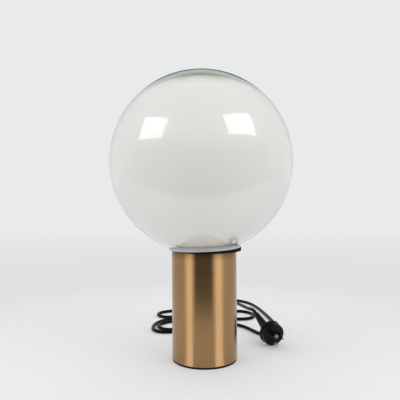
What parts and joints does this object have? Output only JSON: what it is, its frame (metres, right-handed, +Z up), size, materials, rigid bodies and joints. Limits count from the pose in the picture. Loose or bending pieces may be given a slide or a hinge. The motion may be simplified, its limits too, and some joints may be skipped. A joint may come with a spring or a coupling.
{
  "type": "table lamp",
  "caption": "Table lamp: a large glass globe, opal inside and clear outside, standing on a slim round brushed metal base, with a mains cord, rocker switch and plug.",
  "frame": {"origin": "middle of the base's foot, on the table", "axes": "+Z up along the base, seen from -Y in the picture with +X to the right; the cord leaves at the back, towards +Y"},
  "size_m": [0.3075, 0.5875, 0.4743],
  "materials": {
    "brushed_bronze": "brushed, lacquered",
    "clear_glass": "polished",
    "opal_glass": "gloss",
    "black_foam": "matte",
    "foot_rubber": "matte",
    "cast_ballast": "painted",
    "zinc_steel": "zinc plated",
    "brass": "satin",
    "holder_plastic": "matte",
    "seat_plastic": "matte",
    "porcelain": "glazed",
    "bulb_cap_metal": "polished",
    "bulb_plastic": "gloss",
    "led_board": "white lacquer",
    "cord_pvc": "satin",
    "plug_black": "satin",
    "wire_brown": "satin",
    "wire_blue": "satin",
    "wire_green": "satin"
  },
  "bodies": {
    "base": {"base_tube": "brushed_bronze", "foot_pad": "foot_rubber", "bottom_plate": "zinc_steel", "ledge_rings": "zinc_steel", "ballast_weight": "cast_ballast", "carrier_plate": "zinc_steel", "tie_rods": "zinc_steel", "tie_nuts": "zinc_steel", "gasket_ring": "black_foam", "locating_collar": "holder_plastic", "collar_screws": "zinc_steel", "nipple": "zinc_steel", "nipple_nuts": "zinc_steel", "spacer_tube": "zinc_steel", "holder_cap": "holder_plastic", "holder_core": "porcelain", "holder_terminals": "brass", "holder_shell": "holder_plastic", "screw_sleeve": "brass", "centre_contact": "brass", "cord_gland": "cord_pvc", "gland_nut": "holder_plastic", "inner_lead": "cord_pvc", "cord_clamp": "holder_plastic", "clamp_screws": "zinc_steel", "wire_live": "wire_brown", "wire_neutral": "wire_blue", "wire_earth": "wire_green", "earth_tag": "brass", "earth_screw": "brass", "switch_lower_shell": "plug_black", "switch_upper_shell": "plug_black", "switch_terminals": "brass", "switch_screws": "zinc_steel", "plug_body": "plug_black", "plug_face": "plug_black", "plug_blades": "bulb_cap_metal", "plug_sleeves": "plug_black", "plug_relief": "plug_black", "lead_to_switch": "cord_pvc", "lead_to_plug": "cord_pvc"},
    "globe": {"globe_glass": "clear_glass", "opal_shade": "opal_glass", "opal_seat_ring": "seat_plastic"},
    "bulb_tip": {"bulb_tip": "brass"},
    "bulb": {"bulb_insulator": "holder_plastic", "bulb_cap": "bulb_cap_metal", "bulb_housing": "bulb_plastic", "led_plate": "led_board", "bulb_dome": "bulb_plastic"},
    "rocker": {"switch_rocker": "plug_black"}
  },
  "joints": [
    {"name": "globe_lift", "type": "slide", "parent": "base", "child": "globe", "axis": [0, 0, 1], "range_m": [0, 0.175]},
    {"name": "bulb_rise", "type": "slide", "parent": "base", "child": "bulb_tip", "axis": [0, 0, 1], "range_m": [0, 0.01087]},
    {"name": "bulb_unscrew", "type": "hinge", "parent": "bulb_tip", "child": "bulb", "pos_m": [0, 0, 0.234], "axis": [0, 0, 1], "range_deg": [0, 1080]},
    {"name": "rocker_press", "type": "hinge", "parent": "base", "child": "rocker", "pos_m": [0.0005, 0.279, 0.0149], "axis": [0.3907, -0.9205, 0], "range_deg": [0, 16]}
  ],
  "couplings": [
    {"joint": "bulb_rise", "follows": "bulb_unscrew", "m_per_rad": 0.00057614}
  ]
}
